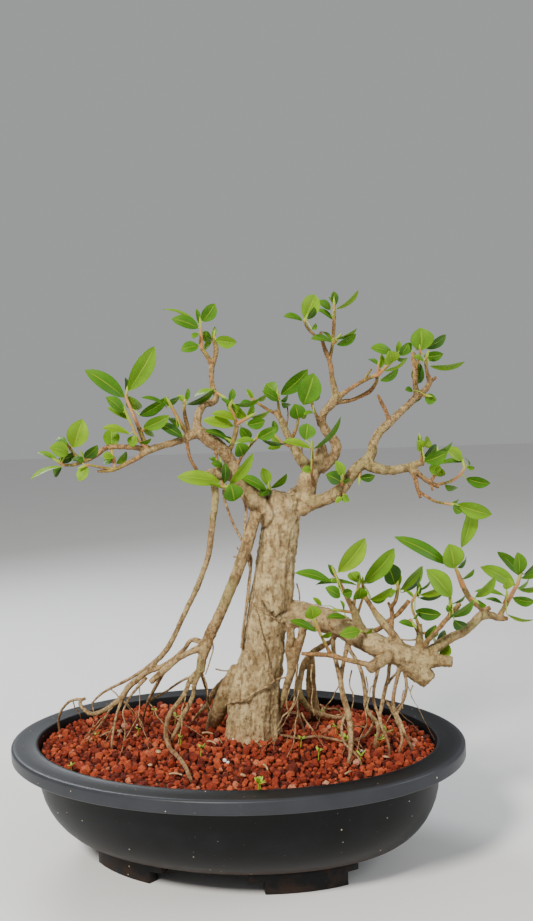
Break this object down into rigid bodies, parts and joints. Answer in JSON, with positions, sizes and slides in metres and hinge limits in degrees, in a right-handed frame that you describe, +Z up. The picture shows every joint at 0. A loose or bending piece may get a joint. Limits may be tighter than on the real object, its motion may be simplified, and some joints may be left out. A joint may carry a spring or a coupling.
{
  "type": "banyan bonsai",
  "caption": "Banyan fig trained as a bonsai, with aerial roots and sparse leafy shoots, standing in an oval footed pot of lava grit.",
  "frame": {"origin": "middle of the bounding box, on the plane that the pot's feet stand on", "axes": "+Z up, +X along the pot's long side, the tree's front faces the -Y and +X side"},
  "size_m": [0.5334, 0.348, 0.553],
  "materials": {
    "pot": "dull black, slightly glossy on the rim",
    "soil": "porous brick red grit",
    "wood": "rough pale bark",
    "leaf": null
  },
  "bodies": {
    "root": {"pot": "pot", "soil": "soil", "wood": "wood", "spray_left_tip": "leaf", "spray_left_tip_up": "leaf", "spray_left_fork": "leaf", "spray_left_low_tip": "leaf", "spray_left_low_mid": "leaf", "spray_left_side": "leaf", "spray_left_top": "leaf", "spray_left_low_side": "leaf", "spray_left_c_tip": "leaf", "spray_left_d_tip": "leaf", "spray_vert_bend": "leaf", "spray_vert_left": "leaf", "spray_vert_top": "leaf", "spray_e_right": "leaf", "spray_e_low": "leaf", "spray_short_front": "leaf", "spray_short_top": "leaf", "spray_f_tip": "leaf", "spray_crotch": "leaf", "spray_mid_left_tip": "leaf", "spray_mid_up": "leaf", "spray_mid_right": "leaf", "spray_mid_back": "leaf", "spray_centre_left": "leaf", "spray_front": "leaf", "spray_right_mid": "leaf", "spray_right_under": "leaf", "spray_right_below": "leaf", "spray_top_left": "leaf", "spray_top_centre": "leaf", "spray_centre_mid": "leaf", "spray_right_twig_tip": "leaf", "spray_right_crown": "leaf", "spray_right_crown_b": "leaf", "spray_right_crown_low": "leaf", "spray_right_cluster": "leaf", "spray_right_cluster_b": "leaf", "spray_right_loop": "leaf", "spray_right_tip_low": "leaf", "spray_low_crown": "leaf", "spray_low_crown_low": "leaf", "spray_far_right_top": "leaf", "spray_far_right_low": "leaf", "spray_low_e": "leaf", "spray_low_d": "leaf", "spray_low_d_left": "leaf", "spray_low_de": "leaf", "spray_low_c": "leaf", "spray_low_b": "leaf", "spray_low_b_bud": "leaf", "spray_low_a": "leaf", "spray_low_a_base": "leaf", "spray_front_shoot": "leaf", "spray_limb_leaf": "leaf"}
  },
  "joints": []
}
